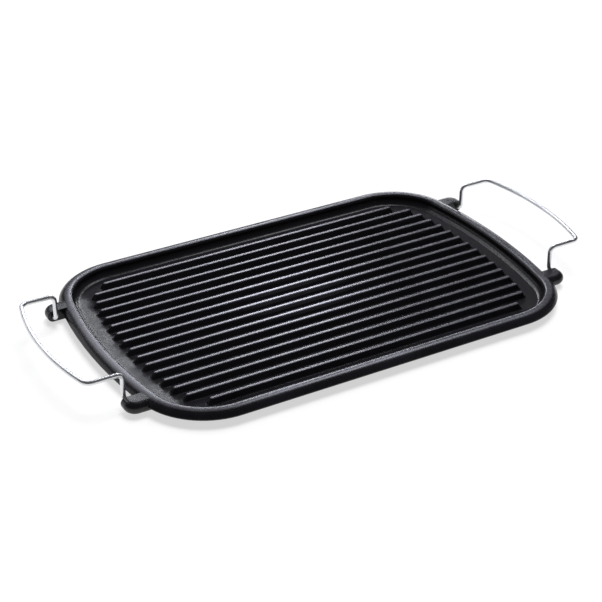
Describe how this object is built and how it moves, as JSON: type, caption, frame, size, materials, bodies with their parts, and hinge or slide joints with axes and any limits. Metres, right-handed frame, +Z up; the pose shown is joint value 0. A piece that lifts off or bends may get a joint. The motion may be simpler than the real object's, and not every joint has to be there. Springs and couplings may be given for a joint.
{
  "type": "hibachi grill pan",
  "caption": "Shallow rectangular cast-iron grill pan with long ribs, a fat channel, a rolled rim, cast ears and a folding bent-wire handle at each end.",
  "frame": {"origin": "middle of the underside, on the surface that the pan stands on", "axes": "+X along the ribs towards the right handle, +Y across the ribs towards the back, +Z up"},
  "size_m": [0.499, 0.272, 0.0331],
  "materials": {
    "seasoned_iron": "seasoned black cast iron, satin with a soft sheen",
    "handle_wire": "bright drawn stainless wire"
  },
  "bodies": {
    "pan": {"grill_pan": "seasoned_iron"},
    "left_handle": {"left_handle": "handle_wire"},
    "right_handle": {"right_handle": "handle_wire"}
  },
  "joints": [
    {"name": "left_handle_swing", "type": "hinge", "parent": "pan", "child": "left_handle", "pos_m": [-0.2075, 0, 0.0081], "axis": [0, -1, 0], "range_deg": [-52, 34]},
    {"name": "right_handle_swing", "type": "hinge", "parent": "pan", "child": "right_handle", "pos_m": [0.2075, 0, 0.0081], "axis": [0, 1, 0], "range_deg": [-52, 34]}
  ]
}
